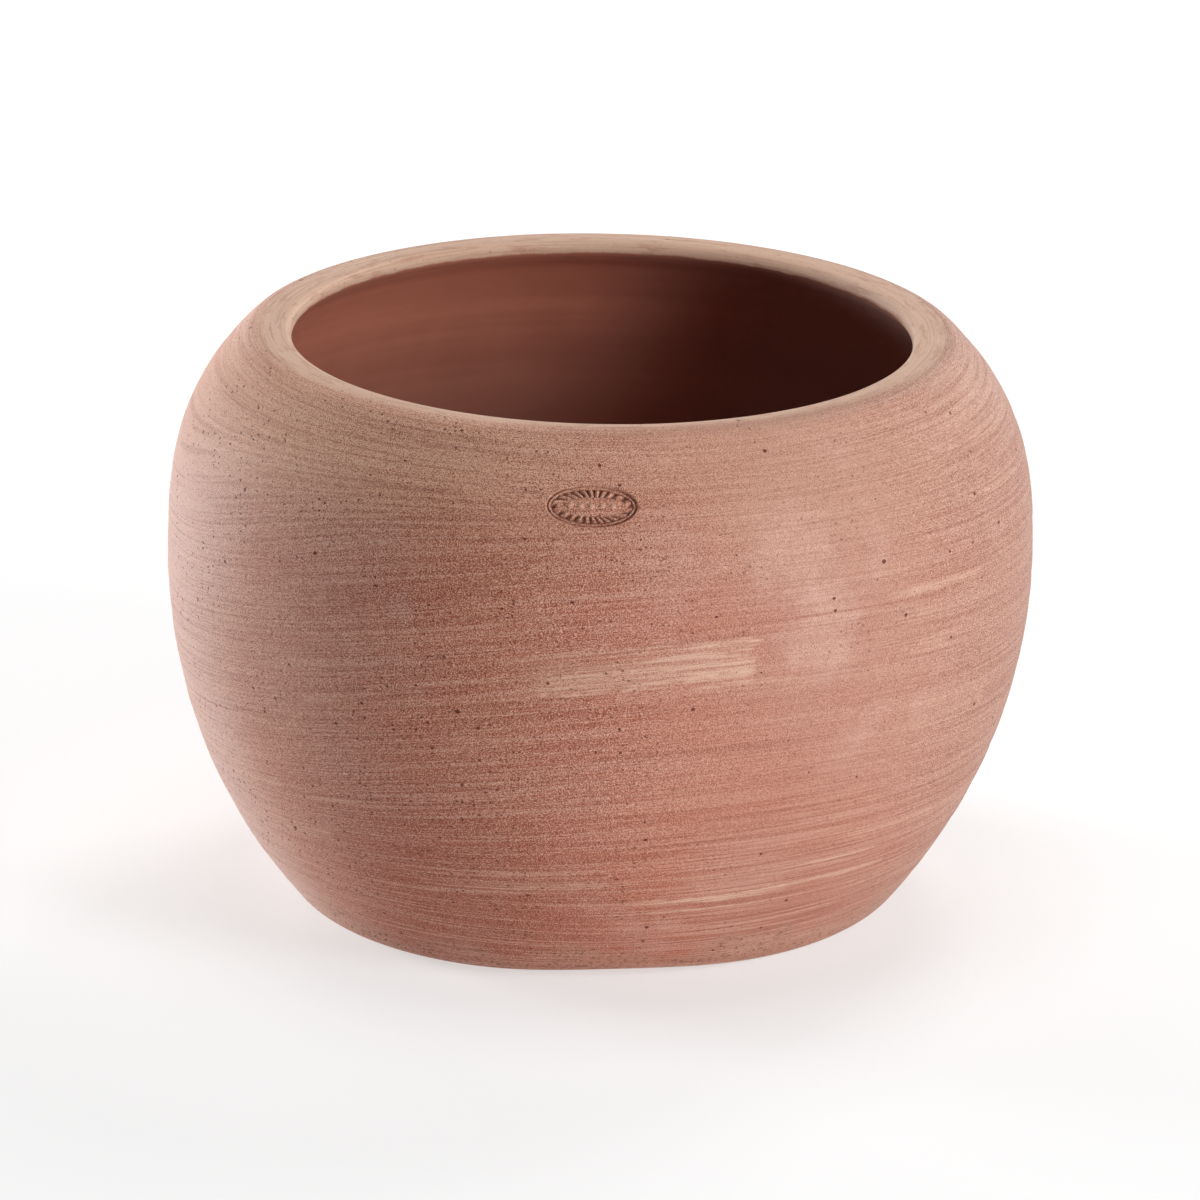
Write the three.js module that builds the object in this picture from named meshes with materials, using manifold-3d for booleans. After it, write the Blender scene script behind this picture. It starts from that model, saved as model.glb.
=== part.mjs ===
// A squat, globe-shaped planter of unglazed terracotta. It is one thrown body: a flat foot, a full
// belly, a shoulder that turns in to a thick rounded rim, a drain hole through the floor, and an
// oval seal pressed into the shoulder. Millimetres, +Z up. The pot stands on Z = 0, the middle of
// its belly is over the origin, and the seal faces -Y.

import * as THREE from "three";
import { mergeVertices } from "three/addons/utils/BufferGeometryUtils.js";
import Module from "manifold-3d";

// The mouth and the rim.
const mouth_radius = 160.5;
const lip_rounding = 6; // radius of the rim's inner edge
const crown_width = 4.5; // the level top of the rim
const roll_width = 14; // the rounding from the crown down to the shoulder
const roll_drop = 3.75; // how far that rounding falls
const lip_depth = 8.5; // from the crown to where the lip turns back to the inside of the wall

// The outside, out from the rim and up from the floor.
const shoulder_overhang = 40; // how far the belly stands out past the rim
const shoulder_fullness = 2.65; // exponent of the shoulder's curve: 2 is an ellipse, more is squarer
const foot_inset = 71.5; // how far the foot's edge lies inside the belly, with its heel sharp
const heel_rounding = 7; // how far the rounded heel eats into the foot
const belly_height = 185; // the widest ring over the floor
const pot_height = 301; // the crown over the floor, on the axis

// The inside.
const wall = 18;
const floor_thickness = 24;
const floor_rounding = 30; // how far the corner between wall and floor reaches up and in
const drain_radius = 15;

// The oval seal pressed into the shoulder.
const seal_width = 46;
const seal_height = 22;
const seal_depth = 1.6;
const seal_drop = 30; // its centre below the crown
const seal_turn = -1.4; // degrees round the pot from the front, counter-clockwise from above

// A hand-thrown pot is never quite true: this one leans towards +X and its rim falls that way.
const lean = 0.0101; // sideways run per unit of height
const rim_fall = 0.0168; // drop of the rim per unit of distance towards +X
const true_height = 90; // below this height the pot is level

// Fineness of the faces.
const around = 60;
const lower_steps = 8;
const upper_steps = 9;
const rim_steps = 4;
const corner_steps = 3;
const seal_steps = 24;

const crown_inside = mouth_radius + lip_rounding;
const crown_outside = crown_inside + crown_width;
const rim_radius = crown_outside + roll_width; // where the shoulder rolls over into the rim
const belly_radius = rim_radius + shoulder_overhang;
const foot_radius = belly_radius - foot_inset;

const point = (r, z) => new THREE.Vector2(r, z);

// The points of a quadratic curve after its first one.
function rounded(start, corner, end, steps) {
  const curve = new THREE.QuadraticBezierCurve(start, corner, end);
  return curve.getPoints(steps).slice(1);
}

// The point at a height on the straight line through two points.
function on_line(a, b, z) {
  return a.clone().lerp(b, (z - a.y) / (b.y - a.y));
}

// The lower wall is a quarter of an ellipse through the foot's sharp edge and the belly.
const lower_rise = belly_height / Math.sqrt(1 - (foot_radius / belly_radius) ** 2);
const heel_angle = Math.asin((belly_height - heel_rounding) / lower_rise);

function lower_wall(angle) {
  return point(belly_radius * Math.cos(angle), belly_height - lower_rise * Math.sin(angle));
}

// The shoulder is part of a superellipse from the belly up to the rim.
const rim_angle = Math.acos((rim_radius / belly_radius) ** (shoulder_fullness / 2));
const upper_rise =
  (pot_height - roll_drop - belly_height) / Math.sin(rim_angle) ** (2 / shoulder_fullness);

function shoulder(angle) {
  const power = 2 / shoulder_fullness;
  const r = belly_radius * Math.cos(angle) ** power;
  return point(r, belly_height + upper_rise * Math.sin(angle) ** power);
}

// The wall from the heel up to where the rim starts, set in from the outside by a distance.
function wall_line(inset) {
  const outside = [];
  for (let i = 0; i < lower_steps; i++) outside.push(lower_wall(heel_angle * (1 - i / lower_steps)));
  for (let i = 0; i <= upper_steps; i++) outside.push(shoulder((rim_angle * i) / upper_steps));
  return outside.map((here, i) => {
    const before = outside[Math.max(i - 1, 0)];
    const after = outside[Math.min(i + 1, outside.length - 1)];
    const along = after.clone().sub(before).normalize();
    return point(here.x - along.y * inset, here.y + along.x * inset);
  });
}

// The point of a wall line, taken from below, where it reaches a height.
function at_height(line, z) {
  const above = line.findIndex((p) => p.y > z);
  return on_line(line[above - 1], line[above], z);
}

// The closed outline of the clay, from the foot's edge up the outside and down the inside.
function clay_outline() {
  const foot_edge = point(foot_radius - heel_rounding, 0);
  const outside = wall_line(0);
  const [below_rim, rim_start] = outside.slice(-2);
  const crown_edge = point(crown_outside, pot_height);
  const roll = on_line(below_rim, rim_start, pot_height);
  roll.x = Math.max(roll.x, crown_outside); // the rounding never reaches over the crown

  const inside = wall_line(wall);
  const lip_top = point(crown_inside, pot_height);
  const lip_side = point(mouth_radius, pot_height - lip_rounding);
  const lip_corner = point(mouth_radius, pot_height - lip_depth);
  const inner_top = inside[inside.length - 1];
  const inner_low = at_height(inside, floor_thickness + floor_rounding);
  const inner_wall = inside.filter((p) => p.y < inner_top.y && p.y > inner_low.y).reverse();
  const floor_corner = on_line(inner_wall[inner_wall.length - 1], inner_low, floor_thickness);
  const floor_edge = point(inner_low.x - floor_rounding, floor_thickness);

  return [
    foot_edge,
    ...rounded(foot_edge, point(foot_radius, 0), outside[0], corner_steps),
    ...outside.slice(1),
    ...rounded(rim_start, roll, crown_edge, rim_steps),
    lip_top,
    ...rounded(lip_top, point(mouth_radius, pot_height), lip_side, corner_steps),
    ...rounded(lip_side, lip_corner, inner_top, corner_steps),
    ...inner_wall,
    inner_low,
    ...rounded(inner_low, floor_corner, floor_edge, corner_steps),
    point(drain_radius, floor_thickness),
    point(drain_radius, 0),
    foot_edge,
  ];
}

const wasm = await Module();
wasm.setup();

function to_solid(geometry) {
  geometry.deleteAttribute("normal");
  geometry.deleteAttribute("uv");
  const merged = mergeVertices(geometry, 1e-4);
  const mesh = new wasm.Mesh({
    numProp: 3,
    vertProperties: merged.attributes.position.array,
    triVerts: new Uint32Array(merged.index.array),
  });
  return new wasm.Manifold(mesh);
}

function to_geometry(solid) {
  const mesh = solid.getMesh();
  const geometry = new THREE.BufferGeometry();
  geometry.setAttribute("position", new THREE.BufferAttribute(mesh.vertProperties, 3));
  geometry.setIndex(new THREE.BufferAttribute(mesh.triVerts, 1));
  return geometry;
}

// A lathe turns about Y, so its result is stood up on Z.
function turned(outline) {
  return new THREE.LatheGeometry(outline, around).rotateX(Math.PI / 2);
}

// An oval bar square to the shoulder at the seal, as long as the wall is thick each way.
function seal_bar() {
  const line = wall_line(0);
  const centre = at_height(line, pot_height - seal_drop);
  const above = at_height(line, centre.y + seal_height / 2);
  const below = at_height(line, centre.y - seal_height / 2);
  const oval = new THREE.Shape();
  oval.absellipse(0, 0, seal_width / 2, seal_height / 2, 0, 2 * Math.PI);
  const bar = new THREE.ExtrudeGeometry(oval, {
    depth: 2 * wall,
    bevelEnabled: false,
    curveSegments: seal_steps,
  });
  const slope = Math.atan2(below.x - above.x, above.y - below.y);
  return bar
    .translate(0, 0, -wall)
    .rotateX(Math.PI / 2 - slope)
    .translate(0, -centre.x, centre.y)
    .rotateZ(THREE.MathUtils.degToRad(seal_turn));
}

// What the seal pushes out of the clay: the oval bar outside of a skin below the surface.
function seal_recess() {
  const skin = wall_line(seal_depth);
  const top = skin[skin.length - 1];
  const core = turned([point(0, skin[0].y), ...skin, point(0, top.y), point(0, skin[0].y)]);
  return to_solid(seal_bar()).subtract(to_solid(core));
}

// Leans the pot about its belly, and lets the rim fall, more and more above the level height.
function settle(geometry) {
  const position = geometry.attributes.position;
  for (let i = 0; i < position.count; i++) {
    const x = position.getX(i);
    const z = position.getZ(i);
    const share = THREE.MathUtils.smoothstep(z, true_height, pot_height);
    position.setX(i, x + lean * (z - belly_height));
    position.setZ(i, z - rim_fall * share * x);
  }
  return geometry;
}

const terracotta = new THREE.MeshStandardMaterial({ color: 0xb98a74, roughness: 0.92, metalness: 0 });

const pot_body = new THREE.Mesh(
  settle(to_geometry(to_solid(turned(clay_outline())).subtract(seal_recess()))),
  terracotta,
);
pot_body.name = "pot_body";

const planter = new THREE.Group();
planter.add(pot_body);

export default planter;
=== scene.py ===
import math

import bmesh
import bpy
import numpy as np
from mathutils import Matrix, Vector


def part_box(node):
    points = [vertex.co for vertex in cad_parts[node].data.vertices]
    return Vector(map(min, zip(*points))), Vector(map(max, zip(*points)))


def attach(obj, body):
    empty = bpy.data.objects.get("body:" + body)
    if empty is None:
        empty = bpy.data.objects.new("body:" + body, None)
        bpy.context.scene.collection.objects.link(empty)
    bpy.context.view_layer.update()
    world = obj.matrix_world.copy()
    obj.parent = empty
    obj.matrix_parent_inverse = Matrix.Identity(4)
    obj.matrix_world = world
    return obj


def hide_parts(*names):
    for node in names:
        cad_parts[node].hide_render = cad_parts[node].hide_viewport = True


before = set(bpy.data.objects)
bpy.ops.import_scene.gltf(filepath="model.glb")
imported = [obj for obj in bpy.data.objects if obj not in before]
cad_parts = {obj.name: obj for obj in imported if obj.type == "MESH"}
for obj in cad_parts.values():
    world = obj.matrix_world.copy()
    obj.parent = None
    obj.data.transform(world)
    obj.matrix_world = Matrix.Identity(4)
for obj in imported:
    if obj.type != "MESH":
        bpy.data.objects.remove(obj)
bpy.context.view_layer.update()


# The camera. A long lens from well back, a little above the pot, so that the mouth shows as a
# wide ellipse and the sides hardly converge.
camera_distance = 6.75
camera_elevation = math.radians(18.0)
frame_pixels = 1200
focal_pixels = 12977
aim_height = 0.154

camera_data = bpy.data.cameras.new("camera")
camera_data.sensor_width = 36.0
camera_data.lens = camera_data.sensor_width * focal_pixels / frame_pixels
camera_data.clip_end = 60.0
camera = bpy.data.objects.new("camera", camera_data)
towards_camera = Vector((0.0, -math.cos(camera_elevation), math.sin(camera_elevation)))
camera.location = Vector((0.0, 0.0, aim_height)) + towards_camera * camera_distance
camera.rotation_euler = towards_camera.to_track_quat("Z", "Y").to_euler()
bpy.context.scene.collection.objects.link(camera)
bpy.context.scene.camera = camera


# The light of a plain pale studio: a soft box on the right, a little above the pot, one behind it on
# the left that draws the pale edge, a broad one overhead and three weaker ones behind.
bpy.context.scene.view_settings.view_transform = "Standard"
light_distance = 2.6
upright_box = (0.9, 1.35)
low_box = (0.9, 0.7)
broad_box = (1.3, 1.3)


def soft_box(name, azimuth, elevation, size, power):
    """A rectangular light that faces the pot. Azimuth 0 is the camera's side, 90 the right."""
    a, e = math.radians(azimuth), math.radians(elevation)
    out = Vector((math.sin(a) * math.cos(e), -math.cos(a) * math.cos(e), math.sin(e)))
    data = bpy.data.lights.new(name, "AREA")
    data.shape = "RECTANGLE"
    data.size, data.size_y = size
    data.energy = power
    light = bpy.data.objects.new(name, data)
    light.location = out * light_distance + Vector((0.0, 0.0, aim_height))
    light.rotation_euler = out.to_track_quat("Z", "Y").to_euler()
    bpy.context.scene.collection.objects.link(light)


soft_box("right", azimuth=50, elevation=18, size=upright_box, power=45)
soft_box("left_back", azimuth=-116, elevation=10, size=low_box, power=46)
soft_box("left_rim", azimuth=-160, elevation=10, size=low_box, power=16)
soft_box("overhead", azimuth=0, elevation=89, size=broad_box, power=19)
soft_box("right_back", azimuth=150, elevation=10, size=low_box, power=10)
soft_box("right_top", azimuth=150, elevation=45, size=low_box, power=19)


# The floor is a wide sheet of pale, matt board that glows a little, as a light table does, so its
# shadows stay pale. The empty room beyond it is as bright as its far end.
floor_reach = 40.0
floor_glow = 0.44  # as a light
floor_look = 0.55  # as seen
board_grey = 0.5
room_light = 0.04
floor_mesh = bpy.data.meshes.new("floor")
corner_sides = ((-1, -1), (1, -1), (1, 1), (-1, 1))
floor_corners = [(x * floor_reach, y * floor_reach, 0.0) for x, y in corner_sides]
floor_mesh.from_pydata(floor_corners, [], [(0, 1, 2, 3)])
floor_board = bpy.data.materials.new("floor_board")
floor_board.use_nodes = True
floor_shader = floor_board.node_tree.nodes["Principled BSDF"]
floor_shader.inputs["Base Color"].default_value = (board_grey, board_grey, board_grey, 1.0)
floor_shader.inputs["Roughness"].default_value = 1.0
floor_shader.inputs["Specular IOR Level"].default_value = 0.0
floor_shader.inputs["Emission Color"].default_value = (1.0, 1.0, 1.0, 1.0)
sight = floor_board.node_tree.nodes.new("ShaderNodeLightPath")
glow = floor_board.node_tree.nodes.new("ShaderNodeMapRange")
glow.inputs["To Min"].default_value = floor_glow
glow.inputs["To Max"].default_value = floor_look
floor_board.node_tree.links.new(sight.outputs["Is Camera Ray"], glow.inputs["Value"])
floor_board.node_tree.links.new(glow.outputs[0], floor_shader.inputs["Emission Strength"])
floor_mesh.materials.append(floor_board)
floor = bpy.data.objects.new("floor", floor_mesh)
bpy.context.scene.collection.objects.link(floor)

world = bpy.data.worlds.new("room")
world.use_nodes = True
room = world.node_tree
seen = room.nodes["Background"]
seen.inputs["Color"].default_value = (1.0, 1.0, 1.0, 1.0)
seen.inputs["Strength"].default_value = floor_look
unseen = room.nodes.new("ShaderNodeBackground")
unseen.inputs["Strength"].default_value = room_light
by_sight = room.nodes.new("ShaderNodeMixShader")
room.links.new(room.nodes.new("ShaderNodeLightPath").outputs["Is Camera Ray"], by_sight.inputs[0])
room.links.new(unseen.outputs[0], by_sight.inputs[1])
room.links.new(seen.outputs[0], by_sight.inputs[2])
room.links.new(by_sight.outputs[0], room.nodes["World Output"].inputs["Surface"])
bpy.context.scene.world = world


# The outline of the clay. The pot is thrown on a wheel, so its whole shape is one closed outline
# swept about the axis: up the outside from the drain hole, over the rim, down the inside and back.
low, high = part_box("pot_body")
belly_radius = (high.x - low.x) / 2
mouth_radius = 0.1605
lip_rounding = 0.006
crown_width = 0.0045
roll_width = 0.014
roll_drop = 0.00375
lip_depth = 0.0085
shoulder_fullness = 2.65
foot_inset = 0.0715
heel_rounding = 0.007
belly_height = 0.185
pot_height = 0.301
wall = 0.018
floor_thickness = 0.024
floor_rounding = 0.030
drain_radius = 0.015
drain_edge = 0.002

# how far apart the rows of faces lie: close on the outside, closer still round the edges, and wide
# where the clay is flat or out of sight
row_pitch = 0.0021
inner_pitch = 0.0065
flat_pitch = 0.02
corner_pitch = 0.004
drain_pitch = 0.005
drain_edge_pitch = 0.001
heel_pitch = 0.0016
roll_pitch = 0.0014
crown_pitch = 0.0019
lip_pitch = 0.0013
under_lip_pitch = 0.0020
wall_samples = 400
curve_samples = 40

crown_inside = mouth_radius + lip_rounding
crown_outside = crown_inside + crown_width
rim_radius = crown_outside + roll_width
foot_radius = belly_radius - foot_inset
lower_rise = belly_height / math.sqrt(1 - (foot_radius / belly_radius) ** 2)
power = 2 / shoulder_fullness
rim_angle = math.acos((rim_radius / belly_radius) ** (1 / power))
upper_rise = (pot_height - roll_drop - belly_height) / math.sin(rim_angle) ** power


def evenly(line, pitch):
    """The points of a fine line, spaced again about a pitch apart."""
    steps = np.hypot(*np.diff(line, axis=0).T)
    run = np.concatenate([[0], np.cumsum(steps)])
    stops = np.linspace(0, run[-1], max(2, round(run[-1] / pitch) + 1))
    return np.column_stack([np.interp(stops, run, line[:, i]) for i in (0, 1)])


def rounded(start, corner, end):
    """A quadratic curve from start to end that bends round a corner."""
    t = np.linspace(0, 1, curve_samples)[:, None]
    return (1 - t) ** 2 * np.array(start) + 2 * t * (1 - t) * np.array(corner) + t**2 * np.array(end)


def straight(start, end):
    """A straight line, given by its two ends."""
    return np.linspace(start, end, 2)


def on_line(a, b, z):
    """The point at a height on the straight line through two points."""
    return a + (b - a) * (z - a[1]) / (b[1] - a[1])


def wall_line():
    """The outside of the wall, from the heel up to where the rim starts."""
    angle = np.linspace(math.asin((belly_height - heel_rounding) / lower_rise), 0, wall_samples)
    lower = np.column_stack([belly_radius * np.cos(angle), belly_height - lower_rise * np.sin(angle)])
    angle = np.linspace(0, rim_angle, wall_samples)[1:]
    upper = np.column_stack(
        [belly_radius * np.cos(angle) ** power, belly_height + upper_rise * np.sin(angle) ** power]
    )
    return np.concatenate([lower, upper])


def inset(line, depth):
    """A line moved in from the outside of the clay by a depth."""
    along = np.gradient(line, axis=0)
    along /= np.hypot(*along.T)[:, None]
    return line + depth * np.column_stack([-along[:, 1], along[:, 0]])


outside = wall_line()
roll_corner = on_line(outside[-2], outside[-1], pot_height)
lip_corner = np.array([mouth_radius, pot_height - lip_depth])
lip_side = (mouth_radius, pot_height - lip_rounding)
inside = inset(outside, wall)
inside = inside[inside[:, 1] > floor_thickness + floor_rounding][::-1]
floor_corner = on_line(inside[-2], inside[-1], floor_thickness)
floor_edge = (inside[-1][0] - floor_rounding, floor_thickness)
drain_mid = floor_thickness / 2
drain_top = floor_thickness - drain_edge
drain_rim = drain_radius + drain_edge

stretches = [
    evenly(straight((drain_radius, drain_mid), (drain_radius, drain_edge)), drain_pitch),
    evenly(rounded((drain_radius, drain_edge), (drain_radius, 0), (drain_rim, 0)), drain_edge_pitch),
    evenly(straight((drain_rim, 0), (foot_radius - heel_rounding, 0)), flat_pitch),
    evenly(rounded((foot_radius - heel_rounding, 0), (foot_radius, 0), outside[0]), heel_pitch),
    evenly(outside, row_pitch),
    evenly(rounded(outside[-1], roll_corner, (crown_outside, pot_height)), roll_pitch),
    evenly(straight((crown_outside, pot_height), (crown_inside, pot_height)), crown_pitch),
    evenly(rounded((crown_inside, pot_height), (mouth_radius, pot_height), lip_side), lip_pitch),
    evenly(rounded(lip_side, lip_corner, inside[0]), under_lip_pitch),
    evenly(inside, inner_pitch),
    evenly(rounded(inside[-1], floor_corner, floor_edge), corner_pitch),
    evenly(straight(floor_edge, (drain_rim, floor_thickness)), flat_pitch),
    evenly(
        rounded((drain_rim, floor_thickness), (drain_radius, floor_thickness), (drain_radius, drain_top)),
        drain_edge_pitch,
    ),
    evenly(straight((drain_radius, drain_top), (drain_radius, drain_mid)), drain_pitch),
]
outline = np.concatenate([stretches[0]] + [s[1:] for s in stretches[1:]])
run_of_row = np.concatenate([[0], np.cumsum(np.hypot(*np.diff(outline, axis=0).T))])


def run_at(stretch):
    """The length of the outline up to the end of a stretch, where a finish changes."""
    return run_of_row[sum(len(s) - 1 for s in stretches[: stretch + 1])]


run_heel, run_rim, run_roll, run_lip, run_under, run_inner = (run_at(i) for i in (3, 4, 5, 7, 8, 9))


# The thrown body. A tree of geometry nodes sweeps the outline about the axis, presses the soft
# rings and waves of the potter's hands into the clay, then lets it lean and settle.
class Wire:
    """A socket of a node tree that Python's operators work on, by adding Math nodes."""

    def __init__(self, bench, socket):
        self.bench = bench
        self.socket = socket

    def __add__(self, other):
        return self.bench.math("ADD", self, other)

    def __sub__(self, other):
        return self.bench.math("SUBTRACT", self, other)

    def __rsub__(self, other):
        return self.bench.math("SUBTRACT", other, self)

    def __mul__(self, other):
        return self.bench.math("MULTIPLY", self, other)

    def __truediv__(self, other):
        return self.bench.math("DIVIDE", self, other)

    def __pow__(self, other):
        return self.bench.math("POWER", self, other)

    def __neg__(self):
        return self.bench.math("MULTIPLY", self, -1.0)

    __radd__ = __add__
    __rmul__ = __mul__


class Bench:
    """A node tree, and the one way in which nodes are put into it."""

    def __init__(self, tree):
        self.tree = tree

    def node(self, kind, settings=None, inputs=None, output=0):
        """Adds a node, sets it up, fills its sockets with values or wires, and gives an output."""
        made = self.tree.nodes.new(kind)
        for name, value in (settings or {}).items():
            setattr(made, name, value)
        for name, value in (inputs or {}).items():
            if isinstance(value, Wire):
                self.tree.links.new(value.socket, made.inputs[name])
            else:
                made.inputs[name].default_value = value
        return Wire(self, made.outputs[output])

    def math(self, operation, a, b=0.0):
        """One step of arithmetic on numbers."""
        return self.node("ShaderNodeMath", {"operation": operation}, {0: a, 1: b})

    def clamp(self, value):
        """A value kept between 0 and 1."""
        return self.node("ShaderNodeMath", {"operation": "ADD", "use_clamp": True}, {0: value, 1: 0.0})

    def smooth(self, value, low, high):
        """0 below low and 1 above high, with a smooth step between; high may be the lower one."""
        inputs = {"Value": value, "From Min": low, "From Max": high}
        return self.node("ShaderNodeMapRange", {"interpolation_type": "SMOOTHSTEP"}, inputs)

    def band(self, value, start, full, fading, end):
        """1 between full and fading, with a smooth step down to 0 at start and at end."""
        return self.smooth(value, start, full) * self.smooth(value, end, fading)

    def vector(self, x, y, z):
        """A vector made of three numbers."""
        return self.node("ShaderNodeCombineXYZ", {}, {0: x, 1: y, 2: z})

    def parts(self, vector):
        """The three parts of a vector."""
        first = self.node("ShaderNodeSeparateXYZ", {}, {0: vector})
        return [Wire(self, socket) for socket in first.socket.node.outputs]

    def heading(self, x, y):
        """Which way a place lies from the axis: the two parts of a level vector of length 1."""
        level = self.vector(x, y, 0.0)
        level = self.node("ShaderNodeVectorMath", {"operation": "NORMALIZE"}, {0: level})
        return self.parts(level)[:2]

    def noise(self, vector, scale=1.0, detail=2.0, roughness=0.5, distortion=0.0):
        """Smooth noise of about 0.25 to 0.75."""
        inputs = {
            "Vector": vector,
            "Scale": scale,
            "Detail": detail,
            "Roughness": roughness,
            "Distortion": distortion,
        }
        return self.node("ShaderNodeTexNoise", {}, inputs)


columns = 280
fade = 0.02
inner_fade = 0.05
ring_slant = 0.05
lean = 0.0101
rim_fall = 0.0168
true_height = 0.090
wear_depth = 0.0034
wear_half_width = 0.055
wear_centre = 0.012
wear_height = 0.03
wear_starts, wear_full = -0.08, -0.13
quiet_noise = 0.28
noise_gain = 2.2
weld = 1e-5

line_mesh = bpy.data.meshes.new("outline")
line_mesh.from_pydata([(r, 0.0, z) for r, z in outline], [], [])
run_layer = line_mesh.attributes.new("run", "FLOAT", "POINT")
run_layer.data.foreach_set("value", run_of_row.astype(np.float32))
thrown = bpy.data.objects.new("thrown", line_mesh)
bpy.context.scene.collection.objects.link(thrown)

tree = bpy.data.node_groups.new("throwing", "GeometryNodeTree")
tree.interface.new_socket("Geometry", in_out="INPUT", socket_type="NodeSocketGeometry")
tree.interface.new_socket("Geometry", in_out="OUTPUT", socket_type="NodeSocketGeometry")
sizes = {
    "Hand Wave": 0.0006,
    "Wheel Ring": 0.0005,
    "Brush Furrow": 0.00022,
    "Inner Ring": 0.0008,
    "Lean": lean,
    "Rim Fall": rim_fall,
    "Foot Wear": wear_depth,
}
identifiers = {}
for name in sizes:
    made = tree.interface.new_socket(name, in_out="INPUT", socket_type="NodeSocketFloat")
    identifiers[name] = made.identifier
made = tree.interface.new_socket("Clay", in_out="INPUT", socket_type="NodeSocketMaterial")
identifiers["Clay"] = made.identifier

g = Bench(tree)
group_in = tree.nodes.new("NodeGroupInput")
given = {socket.name: Wire(g, socket) for socket in group_in.outputs if socket.name}
rows = len(outline)
grid = g.node("GeometryNodeMeshGrid", {}, {"Vertices X": columns + 1, "Vertices Y": rows})
index = g.node("GeometryNodeInputIndex")
column = g.math("FLOOR", (index + 0.5) / rows)
row = g.math("FLOOR", index - column * rows + 0.5)
line_point = g.node("GeometryNodeInputPosition")
sampled = g.node(
    "GeometryNodeSampleIndex",
    {"data_type": "FLOAT_VECTOR"},
    {"Geometry": given["Geometry"], "Value": line_point, "Index": row},
)
line_run = g.node("GeometryNodeInputNamedAttribute", {"data_type": "FLOAT"}, {"Name": "run"})
run = g.node(
    "GeometryNodeSampleIndex",
    {"data_type": "FLOAT"},
    {"Geometry": given["Geometry"], "Value": line_run, "Index": row},
)
radius, _, height = g.parts(sampled)
turn = column * (2 * math.pi / columns)
across = g.math("COSINE", turn)
deep = g.math("SINE", turn)
swept = g.node(
    "GeometryNodeSetPosition",
    {},
    {"Geometry": grid, "Position": g.vector(across * radius, deep * radius, height)},
)
swept = g.node(
    "GeometryNodeStoreNamedAttribute",
    {"data_type": "FLOAT"},
    {"Geometry": swept, "Name": "run", "Value": run},
)

# relief: each part only ever cuts into the clay
stored_run = g.node("GeometryNodeInputNamedAttribute", {"data_type": "FLOAT"}, {"Name": "run"})
place = g.node("GeometryNodeInputPosition")
px, py, _ = g.parts(place)
ux, uy = g.heading(px, py)
outside_start, outside_end = run_heel - fade / 2, run_rim + fade / 10
on_outside = g.band(stored_run, outside_start, run_heel + fade, run_rim - fade, outside_end)
on_rim = g.band(stored_run, run_rim - fade, run_rim, run_roll, run_lip)
on_inside = g.band(stored_run, run_lip, run_under, run_inner - inner_fade, run_inner)


def ringed(around, up, detail, seed):
    """Noise drawn out round the pot: cells this many to a radian, and this many to a metre up."""
    slant = stored_run - px * ring_slant
    return g.noise(g.vector(ux * around + seed, uy * around, slant * up), 1.0, detail)


def cut(noise):
    """How deep the clay is cut, from 0 to 1."""
    return g.clamp((noise - quiet_noise) * noise_gain)


hand_wave = cut(g.noise(place, scale=7.0, detail=1.0)) * given["Hand Wave"]
wheel_ring = cut(ringed(around=0.7, up=38.0, detail=2.0, seed=3.1)) * given["Wheel Ring"]
furrow = cut(ringed(around=2.2, up=150.0, detail=1.0, seed=9.7)) * given["Brush Furrow"]
inner_ring = cut(ringed(around=0.5, up=55.0, detail=1.0, seed=5.3)) * given["Inner Ring"]
depth = (hand_wave + wheel_ring + furrow) * on_outside + furrow * on_rim + inner_ring * on_inside
normal = g.node("GeometryNodeInputNormal")
sunk = g.node("ShaderNodeVectorMath", {"operation": "SCALE"}, {0: normal, "Scale": -depth})
shaped = g.node("GeometryNodeSetPosition", {}, {"Geometry": swept, "Offset": sunk})

# settling: the pot leans to one side, its rim falls there, and the front of the foot is worn
place = g.node("GeometryNodeInputPosition")
px, py, pz = g.parts(place)
fallen = g.smooth(pz, true_height, pot_height) * px * given["Rim Fall"]
worn = g.math("EXPONENT", -(((px - wear_centre) / wear_half_width) ** 2.0))
worn = worn * g.smooth(py, wear_starts, wear_full) * g.smooth(pz, wear_height, 0.0) * given["Foot Wear"]
settle = g.vector((pz - belly_height) * given["Lean"], 0.0, worn - fallen)
settled = g.node("GeometryNodeSetPosition", {}, {"Geometry": shaped, "Offset": settle})
closed = g.node("GeometryNodeMergeByDistance", {}, {"Geometry": settled, "Distance": weld})
smooth = g.node("GeometryNodeSetShadeSmooth", {}, {"Geometry": closed, "Shade Smooth": True})
whole = g.node("GeometryNodeRealizeInstances", {}, {"Geometry": smooth})
coated = g.node("GeometryNodeSetMaterial", {}, {"Geometry": whole, "Material": given["Clay"]})
group_out = tree.nodes.new("NodeGroupOutput")
tree.links.new(coated.socket, group_out.inputs[0])

terracotta = bpy.data.materials.new("terracotta")
sweep = thrown.modifiers.new("throwing", "NODES")
sweep.node_group = tree
for name, value in sizes.items():
    sweep[identifiers[name]] = value
sweep[identifiers["Clay"]] = terracotta
bpy.context.view_layer.update()
evaluated = thrown.evaluated_get(bpy.context.evaluated_depsgraph_get())
pot_mesh = bpy.data.meshes.new_from_object(evaluated)
bpy.data.objects.remove(thrown)


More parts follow.
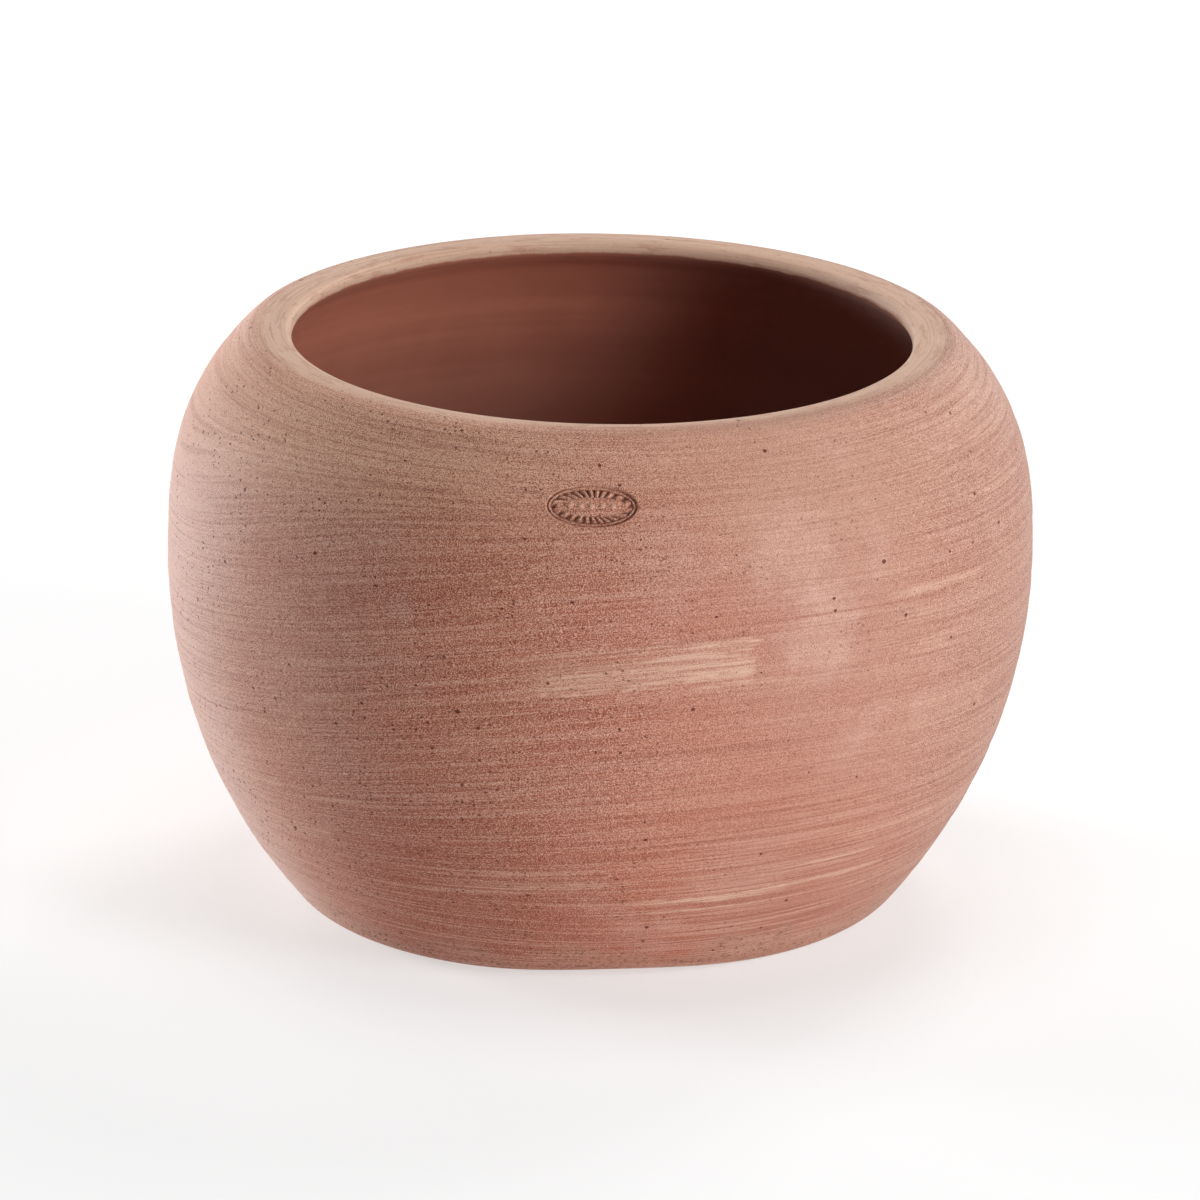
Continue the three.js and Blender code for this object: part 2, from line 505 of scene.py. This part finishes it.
# The oval seal, pressed into the shoulder while the clay is soft: a sunk field with a raised edge,
# a twisted rope for a border and a row of beads on a low boss in the middle, all a little worn.
seal_width = 0.046
seal_height = 0.022
seal_drop = 0.030
seal_turn = math.radians(-1.4)
margin_along = 0.0052
margin_up = 0.0042
boss_inset_along = 0.0072
boss_inset_up = 0.0066
strands = 22
strand_slant = 0.35
beads = 5
bead_row_inset = 0.0094
cuts_across = 8
cuts_up = 3
slope_rows = 8
upright = 0.2
ring_samples = 2001
sway_broad, sway_narrow = 0.7, 0.5
askew_wear, patchy_wear = 0.20, 0.10
tint_balance = 0.25
fine_weld = 1e-6
tiny = 1e-6

# how deep and how high, in millimetres
seal_depth = 2.5
berm_height = 0.18
ring_height = 2.1
strand_height = 2.45
boss_height = 1.2
boss_crown = 0.5
bead_height = 0.8
mm = 0.001

wall_points = wall_line()
seal_row = int(np.argmin(abs(wall_points[:, 1] - (pot_height - seal_drop))))
seal_radius, seal_z = wall_points[seal_row]
slope_r, slope_z = wall_points[seal_row + slope_rows] - wall_points[seal_row - slope_rows]
seal_slope = math.hypot(slope_r, slope_z)
slope_r, slope_z = slope_r / seal_slope, slope_z / seal_slope
facing = np.array([math.sin(seal_turn), -math.cos(seal_turn)])
reach_along = seal_width / 2 + margin_along
reach_up = seal_height / 2 + margin_up


def seal_place(shell):
    """Where the clay's points lie on the seal, along it and up the slope, and which face it."""
    shell.verts.index_update()
    shell.normal_update()
    points = np.array([v.co for v in shell.verts])
    outwards = np.array([v.normal.y < 0 for v in shell.verts])
    x = points[:, 0] - lean * (points[:, 2] - belly_height)
    y = points[:, 1]
    along = seal_radius * (np.arctan2(x, -y) - np.arctan2(facing[0], -facing[1]))
    fallen = rim_fall * np.clip((points[:, 2] - true_height) / (pot_height - true_height), 0, 1)
    up = (np.hypot(x, y) - seal_radius) * slope_r + (points[:, 2] + fallen * x - seal_z) * slope_z
    return along, up, (y < 0) & outwards


def split(shell, cuts, wanted):
    """Cuts the edges under the seal into shorter ones, where their side and rise are as wanted."""
    along, up, front = seal_place(shell)
    near = (abs(along) < reach_along) & (abs(up) < reach_up) & front
    edges = []
    for edge in shell.edges:
        one, other = edge.verts
        if near[one.index] and near[other.index]:
            if wanted(abs(one.co.x - other.co.x), abs(one.co.z - other.co.z)):
                edges.append(edge)
    bmesh.ops.subdivide_edges(shell, edges=edges, cuts=cuts, use_grid_fill=True)


def ramp(value, start, end):
    """0 before start and 1 after end, with a smooth step between; end may be the lower one."""
    t = np.clip((value - start) / (end - start), 0, 1)
    return t * t * (3 - 2 * t)


def band(value, start, full, fading, end):
    """A raised band: it rises from start to full and sinks from fading to end, in millimetres."""
    return ramp(value, start * mm, full * mm) * ramp(value, end * mm, fading * mm)


shell = bmesh.new()
shell.from_mesh(pot_mesh)
bmesh.ops.remove_doubles(shell, verts=shell.verts, dist=fine_weld)
split(shell, cuts_across, lambda side, rise: side >= rise)
split(shell, cuts_up, lambda side, rise: side < rise * upright)
along, up, front = seal_place(shell)

a, b = seal_width / 2, seal_height / 2
oval = np.maximum(np.hypot(along / a, up / b), tiny)
inward = (1 - oval) * oval / np.maximum(np.hypot(along / a**2, up / b**2), tiny)
boss_oval = np.hypot(along / (a - boss_inset_along), up / (b - boss_inset_up))

# the strands are spread by length along the middle of the border, not by angle, and not quite evenly
border_a, border_b = 0.8 * a, 0.66 * b
ring_angle = np.linspace(-math.pi, math.pi, ring_samples)
ring = np.column_stack([border_a * np.cos(ring_angle), border_b * np.sin(ring_angle)])
ring_run = np.concatenate([[0], np.cumsum(np.hypot(*np.diff(ring, axis=0).T))])
angle = np.arctan2(up / b, along / a)
twist = strand_slant * inward / (ring_run[-1] / strands)
phase = (np.interp(angle, ring_angle, ring_run / ring_run[-1]) * strands + twist) * 2 * math.pi
phase += sway_broad * np.sin(2 * angle + 0.9) + sway_narrow * np.sin(5 * angle)

# the stamp was held a little askew, so its upper half is crisper
wear = 1 - askew_wear + askew_wear * np.sin(angle)
wear *= 1 - patchy_wear + patchy_wear * np.sin(3 * angle + 0.6) * np.cos(5 * angle)
berm = berm_height * band(inward, -1.6, -0.5, -0.3, 0.1)
crevice = -seal_depth * ramp(inward, -0.3 * mm, 0.35 * mm)
edge_ring = ring_height * wear * band(inward, 0.4, 1.0, 1.5, 2.4)
strand = strand_height * wear * (0.5 + 0.5 * np.cos(phase)) ** 0.8
strand *= band(inward, 2.2, 2.9, 5.7, 6.4) * ramp(boss_oval, 1.0, 1.12)
boss = boss_height * ramp(boss_oval, 1.30, 1.05) + boss_crown * ramp(boss_oval, 1.0, 0.80)
bead_pitch = 2 * (a - bead_row_inset) / beads
bead_along = along - bead_pitch * np.clip(np.round(along / bead_pitch), -(beads // 2), beads // 2)
bead = bead_height * ramp(np.hypot(bead_along, up * 1.1), 2.0 * mm, 0.6 * mm)
relief = berm + crevice + edge_ring + np.maximum(strand, boss) + bead
relief[~front] = 0
for vertex, push in zip(shell.verts, relief):
    if push:
        vertex.co += vertex.normal * float(push) * mm

# how deep each place lies in the seal, for its painted shade and painted highlight: over 0 in the
# hollows, under 0 on the tops
press = shell.verts.layers.float.new("press")
within = front & (inward > 0.4 * mm)
hollow = np.where(within, np.clip(-relief / seal_depth, 0, 1) - tint_balance, 0)
for vertex, value in zip(shell.verts, hollow):
    vertex[press] = float(value)
for face in shell.faces:
    face.smooth = True
shell.to_mesh(pot_mesh)
shell.free()
pot_mesh.update()
pot = bpy.data.objects.new("pot", pot_mesh)
bpy.context.scene.collection.objects.link(pot)


# The finish of the fired clay: brushed round on the wheel and left bare, so it shows fine strokes,
# sandy grain, small pits and the pale bloom of lime. The sponged rim is smoother and buff.
terracotta.use_nodes = True
terracotta.node_tree.nodes.clear()
s = Bench(terracotta.node_tree)


def rgb(red, green, blue):
    """A colour given as 0 to 255 on a screen, in the linear values that shaders use."""
    parts = []
    for part in (red, green, blue):
        part = part / 255
        parts.append(part / 12.92 if part <= 0.04045 else ((part + 0.055) / 1.055) ** 2.4)
    return (*parts, 1.0)


# a Mix node's sockets for colours, by number, because the names repeat
mix_share, mix_under, mix_over, mix_result = 0, 6, 7, 2


def blend(share, under, over):
    """One colour over another."""
    settings = {"data_type": "RGBA", "blend_type": "MIX"}
    inputs = {mix_share: share, mix_under: under, mix_over: over}
    return s.node("ShaderNodeMix", settings, inputs, mix_result)


def layered(colour, layers):
    """A colour with others laid over it in turn, each with its share."""
    for share, over in layers:
        colour = blend(share, colour, over)
    return colour


point = s.node("ShaderNodeTexCoord", output="Object")
px, py, pz = s.parts(point)
ux, uy = s.heading(px, py)
turn = s.math("ARCTAN2", px, -py)
run = s.node("ShaderNodeAttribute", {"attribute_name": "run"}, output="Fac")
pressed = s.node("ShaderNodeAttribute", {"attribute_name": "press"}, output="Fac")

# the brush went round a little askew: its strokes rise towards the front right and sag at the
# sides, but keep level at the foot and along the rim
stroke_rise = 0.10
stroke_sag = 0.60
level_above_foot = 0.02
askew_above_foot = 0.12
askew_below_rim = 0.10
brushed_radius = 0.20
up_wall = run - run_heel
wall_run = run_rim - run_heel
askew = s.band(up_wall, level_above_foot, askew_above_foot, wall_run - askew_below_rim, wall_run)
stroke = up_wall - askew * (px * stroke_rise - px * px * stroke_sag)


def strokes(length, width, detail=2.0, roughness=0.5, seed=0.0):
    """Noise drawn out along the brush strokes, in cells of a length and a width."""
    around = brushed_radius / length
    vector = s.vector(ux * around + seed, uy * around, stroke / width)
    return s.noise(vector, 1.0, detail, roughness)


def drawn_round(around, up, detail=2.0, roughness=0.5):
    """Noise drawn out level round the pot: cells this many to a radian, and this many to a metre."""
    return s.noise(s.vector(ux * around, uy * around, run * up), 1.0, detail, roughness)


grain_size = 0.0005
hairs = strokes(length=0.075, width=0.00085, detail=0.0)
bristles = strokes(length=0.160, width=0.0032, roughness=0.6, seed=4.3)
passes = strokes(length=0.200, width=0.0150, detail=3.0, roughness=0.55, seed=8.1)
dashes = strokes(length=0.009, width=0.0008, detail=1.0, roughness=0.7, seed=2.7)
scores = s.smooth(strokes(length=0.150, width=0.0019, detail=1.0, seed=41.0), 0.66, 0.74)
cloud = s.noise(point, scale=11.0, detail=3.0)
mottle = s.noise(point, scale=90.0, detail=3.0, roughness=0.6)
grain = s.noise(point, scale=1 / grain_size, detail=0.0)

# the bare clay is a warm orange low down, and bleaches to a dusty pink towards the shoulder; the paler
# left and right sides are painted highlight, where the lamps behind the pot light its edges
warm = rgb(191, 112, 86)
bleached_and_side_lit = rgb(211, 165, 147)
shoulder = s.smooth(pz, 0.17, 0.29)
low_wall = s.smooth(pz, 0.14, 0.02)
# painted highlight: the left and right sides are paled
left_side_painted_light = s.smooth(ux, -0.35, -0.95) * s.smooth(pz, 0.30, 0.20)
right_side_painted_light = s.smooth(ux, 0.0, 0.85)
middle = s.band(ux, -0.80, -0.35, 0.05, 0.40)
bleach_and_side_light = shoulder * 0.20 + left_side_painted_light * 0.45 + right_side_painted_light * 0.16 - low_wall * 0.15 + 0.26
bleach_and_side_light = bleach_and_side_light - middle * 0.24 + (cloud - 0.5) * 0.9 + (passes - 0.5) * 0.45
colour = blend(s.clamp(bleach_and_side_light), warm, bleached_and_side_lit)

# broad zones of the wall, some redder, some paler and some duller; the brick red low on the left is
# painted shade, and the pinks at the lower left, the upper left and the two side edges are painted
# highlight
orange = rgb(190, 106, 78)
painted_shade_brick = rgb(160, 72, 47)
painted_light_pink = rgb(232, 184, 166)
sand = rgb(212, 164, 134)
russet = rgb(176, 94, 68)
painted_light_apricot = rgb(236, 184, 152)
painted_edge_pink = rgb(238, 208, 198)
dun = rgb(172, 134, 116)
painted_edge_dull_pink = rgb(208, 172, 158)

palm = s.band(ux, -0.22, -0.02, 0.45, 0.62) * s.smooth(pz, 0.02, 0.05)
# painted shade: the lower left, on the side away from the main lamp, is darkened to brick red
low_left_painted_shade = s.band(ux, -0.92, -0.62, -0.35, 0.12) * s.smooth(pz, 0.16, 0.07)
# painted light: the far lower left edge is paled, as a low lamp from behind would light it
low_left_painted_light = s.smooth(ux, -0.50, -0.90) * s.smooth(pz, 0.15, 0.06)
under_rim = s.smooth(pz, 0.215, 0.275)
by_seal = s.band(ux, -0.75, -0.30, 0.15, 0.40) * s.band(pz, 0.20, 0.245, 0.266, 0.288)
# painted light: the upper left of the shoulder is paled, where the lamps above and behind light it
upper_left_painted_light = s.band(turn, -1.35, -0.95, -0.3, 0.1) * s.smooth(pz, 0.245, 0.285)
# painted highlight: the far left edge is paled, where the lamps behind the pot graze it
left_edge_painted_light = s.smooth(ux, -0.76, -0.96) * s.smooth(pz, 0.30, 0.20)
right_side = s.smooth(ux, 0.10, 0.60)
# painted highlight: the far right edge is paled in the same way
right_edge_painted_light = s.smooth(ux, 0.74, 1.0)
colour = layered(
    colour,
    [
        (low_wall * (0.50 - palm * 0.44), orange),
        (low_left_painted_shade * 0.70, painted_shade_brick),
        (low_left_painted_light * 0.60, painted_light_pink),
        (under_rim * 0.50, sand),
        (by_seal * 0.40, russet),
        (upper_left_painted_light * 0.58, painted_light_apricot),
        (left_edge_painted_light * 0.80, painted_edge_pink),
        (right_side * 0.35, dun),
        (right_edge_painted_light * 0.40, painted_edge_dull_pink),
    ],
)

# powdery smudges: faint ones anywhere, and four broad ones, each with its turn from the front in
# degrees, its height, its reach and its strength
powder = rgb(222, 178, 164)
powdery = s.smooth(s.noise(point, scale=17.0, distortion=0.3), 0.60, 0.72) * 0.25
smudge = s.noise(point, scale=60.0, roughness=0.6) - 0.5
for smudge_turn, smudge_height, reach, strength in (
    (30, 0.200, 0.036, 0.55),
    (26, 0.243, 0.030, 0.35),
    (9, 0.238, 0.034, 0.28),
    (-26, 0.2145, 0.013, 0.40),
):
    beside = (turn - math.radians(smudge_turn)) * belly_radius / reach
    above = (pz - smudge_height) / reach
    away = (beside**2.0 + above**2.0) ** 0.5 + smudge * 1.6
    powdery = powdery + s.smooth(away, 1.0, 0.2) * strength
colour = blend(s.clamp(powdery), colour, powder)

# the brush drags the deeper and the paler clay out in lines, fainter right of the middle and at the
# far left; the grain shows most left of the middle and at the right edge
deep = rgb(150, 78, 58)
pale = rgb(224, 182, 162)
scored = rgb(142, 66, 46)
sandy = s.band(ux, -1.10, -0.70, -0.15, 0.50)
grain_gain = (sandy * 0.55 + s.smooth(ux, 0.6, 0.9) * 0.50 + 0.5) * (1.0 - low_wall * 0.30)
calm = s.band(ux, 0.0, 0.3, 0.60, 0.80) * s.smooth(pz, 0.07, 0.13)
stroke_gain = (low_wall * 0.25 + s.smooth(ux, 0.1, -0.3) * 0.20 + 0.85) * (1.0 - calm * 0.50)
stroke_gain = stroke_gain * (1.0 - s.smooth(ux, -0.60, -0.85) * 0.35)
sunk = s.smooth(hairs, 0.50, 0.68) * 0.38 + s.smooth(bristles, 0.54, 0.68) * 0.15
sunk = s.clamp(sunk * stroke_gain + s.smooth(dashes, 0.52, 0.70) * grain_gain * 0.14)
raised = s.smooth(hairs, 0.50, 0.32) * 0.33 + s.smooth(bristles, 0.46, 0.32) * 0.12
raised = s.clamp(raised * stroke_gain + s.smooth(dashes, 0.48, 0.30) * grain_gain * 0.12)
colour = layered(colour, [(sunk, deep), (raised, pale), (scores * 0.34, scored)])

# lime wiped on by the brush, in long patches of fine lines, each with its first and last turn from
# the front in degrees, its run up the wall, its width and its strength
lime = rgb(226, 186, 162)
ragged_end = 0.12
ragged_side = 2.4
outer = s.smooth(run, run_rim + 0.012, run_rim - 0.008)
lime_hairs = strokes(length=0.080, width=0.0015, detail=3.0, roughness=0.7, seed=13.0)
lime_hairs = s.smooth(lime_hairs, 0.42, 0.58)
lime_share = s.smooth(strokes(length=0.110, width=0.0100, seed=21.0), 0.62, 0.74)
ragged = strokes(length=0.020, width=0.0020, roughness=0.6, seed=31.0) - 0.5


def wipe(first_turn, last_turn, rise, width):
    """A patch of lime between two turns from the front, in degrees, this far up the wall."""
    first, last = math.radians(first_turn), math.radians(last_turn)
    x = belly_radius * math.sin((first + last) / 2)
    sloped = rise - (x * stroke_rise - x * x * stroke_sag)
    along = (turn - first) / (last - first) + ragged * ragged_end
    across = s.math("ABSOLUTE", (stroke - sloped) / (width / 2) + ragged * ragged_side)
    return s.band(along, 0.0, 0.30, 0.96, 1.0) * s.smooth(across, 1.15, 0.35)


limed = lime_share * lime_hairs * outer * 0.40
for first_turn, last_turn, rise, width, strength in (
    (-14, 21, 0.197, 0.026, 0.90),
    (-70, -50, 0.092, 0.016, 0.45),
    (-62, -42, 0.062, 0.014, 0.55),
    (1, 30, 0.059, 0.005, 0.95),
    (22, 50, 0.060, 0.003, 0.60),
    (4, 22, 0.052, 0.002, 0.60),
    (28, 46, 0.072, 0.002, 0.50),
    (39, 61, 0.219, 0.006, 0.60),
    (40, 64, 0.206, 0.008, 0.25),
    (42, 64, 0.150, 0.020, 0.28),
    (-30, 2, 0.064, 0.010, 0.30),
    (36, 58, 0.083, 0.008, 0.35),
):
    limed = limed + wipe(first_turn, last_turn, rise, width) * (lime_hairs * 0.75 + 0.25) * strength
limed = s.clamp(limed)
colour = blend(limed, colour, lime)

# sandy grain, dark and light, with less of it where the lime lies
dark_grain = rgb(132, 62, 46)
light_grain = rgb(236, 194, 172)
speckle = grain_gain * (1.0 - limed * 0.6)
darker = s.clamp(s.smooth(grain, 0.50, 0.30) * speckle * 0.84)
lighter = s.clamp(s.smooth(grain, 0.50, 0.70) * speckle * 0.70)
colour = layered(colour, [(darker, dark_grain), (lighter, light_grain)])

# dust and lime dried on the foot, where the pot stood in the wet
foot_dust = rgb(196, 154, 132)
foot_soil = rgb(104, 58, 46)
bloom_edge = 0.012
bloom_top = drawn_round(around=3.0, up=0.0) * 0.090 - 0.026
foot_bloom = s.smooth(up_wall + (mottle - 0.5) * 0.02, bloom_top, bloom_top - bloom_edge)
foot_specks = s.smooth(s.noise(point, scale=420.0, roughness=0.7), 0.54, 0.66)
colour = layered(colour, [(foot_bloom * 0.28, foot_dust), (foot_bloom * foot_specks * 0.6, foot_soil)])

# the rim, sponged smooth, mottled and buff
buff = rgb(226, 190, 165)
rim_rust = rgb(182, 122, 98)
rim_dark = rgb(180, 128, 104)
rim_light = rgb(242, 214, 194)
front = s.smooth(uy, -0.3, -0.9)
rim_edge = run - front * 0.006 + (passes - 0.5) * 0.012 + (mottle - 0.5) * 0.008
rim_share = s.smooth(rim_edge, run_rim + 0.004, run_rim + 0.013)
rust = s.smooth(drawn_round(around=9.0, up=260.0, detail=3.0, roughness=0.65), 0.50, 0.66)
rim_hairs = drawn_round(around=2.0, up=900.0, roughness=0.7)
rim_tone = layered(
    buff,
    [
        (rust * 0.45, rim_rust),
        (s.smooth(rim_hairs, 0.53, 0.66) * 0.40, rim_dark),
        (s.smooth(rim_hairs, 0.46, 0.32) * 0.40, rim_light),
    ],
)
colour = blend(rim_share * (0.85 - front * 0.15), colour, rim_tone)

# the inside, wiped smooth on the wheel: soft rings and little else, redder under the rim and duller
# towards the floor, with a line of bare red clay just inside the lip. The greyer right of the inside is
# painted fill light, standing in for soft light in its shade
inner_brown = rgb(184, 113, 90)
inner_pink = rgb(200, 127, 103)
inner_red = rgb(212, 130, 102)
inner_dull = rgb(140, 96, 84)
inner_painted_fill_grey = rgb(140, 112, 107)
lip_red = rgb(158, 96, 74)
ring_pitch = 0.011
inner = s.smooth(run + (mottle - 0.5) * 0.003, run_lip - 0.0006, run_lip + 0.0010)
lip_share = inner * s.smooth(run + (mottle - 0.5) * 0.004, run_lip + 0.0065, run_lip + 0.0035)
rings = drawn_round(around=0.6, up=1 / ring_pitch)
blotch = drawn_round(around=3.0, up=9.0, detail=3.0, roughness=0.6)
inner_tone = layered(
    inner_brown,
    [
        (s.smooth(rings * 0.5 + blotch * 0.5, 0.38, 0.62), inner_pink),
        (s.smooth(pz, 0.235, 0.290) * 0.60, inner_red),
        (s.smooth(pz, 0.260, 0.190) * 0.45, inner_dull),
        # painted fill light: the shaded right of the inside is greyed
        (s.smooth(ux, -0.10, 0.55) * 0.75, inner_painted_fill_grey),
        (lip_share * 0.6, lip_red),
    ],
)
colour = blend(inner, colour, inner_tone)

# pits where grit has dropped out, most of them on the left, and a few pale grains of lime
pit_brown = rgb(104, 38, 22)
lime_white = rgb(232, 214, 196)
flattened = (1.0, 1.0, 1.3)
ragged_pit = 0.0006
pit_edge = 0.00015


def pits(spacing, least, most):
    """Spots with radii between two sizes, scattered as far apart as the grit in the clay."""
    bent = s.node("ShaderNodeVectorMath", {"operation": "MULTIPLY"}, {0: point, 1: flattened})
    spread = {"Vector": bent, "Scale": 1 / spacing}
    spots = s.node("ShaderNodeTexVoronoi", {}, spread, "Distance")
    tint = s.node("ShaderNodeTexVoronoi", {}, spread, "Color")
    size = s.parts(tint)[0] ** 1.5 * (most - least) + least
    edge = spots * spacing + (grain - 0.5) * ragged_pit
    return s.smooth(edge - size, pit_edge, -pit_edge)


leftish = s.smooth(px, 0.10, -0.10)
clustered = s.smooth(s.noise(point, scale=24.0, roughness=0.6), 0.42, 0.56) * 0.85 + 0.15
fine_pits = pits(spacing=0.0029, least=-0.0003, most=0.0009) * clustered * (leftish * 0.55 + 0.45)
large_pits = pits(spacing=0.0120, least=-0.0004, most=0.0014)
pit = s.clamp(fine_pits + large_pits) * (1.0 - inner) * (1.0 - rim_share * 0.7)
lime_grains = (1.0 - inner) * pits(spacing=0.0290, least=-0.0006, most=0.0007)

# painted shade darkens the seal's hollows, and a painted highlight lightens its tops
painted_hollow_shade = rgb(82, 38, 28)
painted_top_highlight = rgb(234, 190, 166)
colour = layered(
    colour,
    [
        (pit * 0.90, pit_brown),
        (s.smooth(pressed, 0.30, 0.75) * 0.80, painted_hollow_shade),
        (s.smooth(pressed, -0.02, -0.20) * 0.50, painted_top_highlight),
        (lime_grains * 0.60, lime_white),
    ],
)

# bump: brush lines, sandy grain and pits, fainter on the rim and fainter still inside
bump_strength = 0.9
bump_distance = 0.001
height = (hairs * 0.20 + bristles * 0.12) * stroke_gain + (dashes * 0.10 + grain * 0.22) * grain_gain
height = (height * (1.0 - rim_share * 0.5) - pit * 0.45) * (1.0 - inner * 0.8)
bump_inputs = {"Strength": bump_strength, "Distance": bump_distance, "Height": height}
bump = s.node("ShaderNodeBump", {}, bump_inputs)


def fired(roughness, specular, sheen):
    """The clay's own shader, with its gloss and its dusty sheen."""
    inputs = {
        "Base Color": colour,
        "Normal": bump,
        "Roughness": roughness,
        "Specular IOR Level": specular,
        "Sheen Weight": sheen,
        "Sheen Roughness": 0.3,
    }
    return s.node("ShaderNodeBsdfPrincipled", {}, inputs)


outer_clay = fired(roughness=0.62, specular=0.25, sheen=0.08)
inner_clay = fired(roughness=0.9, specular=0.8, sheen=0.0)
clay = s.node("ShaderNodeMixShader", {}, {0: inner, 1: outer_clay, 2: inner_clay})
output = s.tree.nodes.new("ShaderNodeOutputMaterial")
s.tree.links.new(clay.socket, output.inputs["Surface"])

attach(pot, "root")
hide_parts("pot_body")
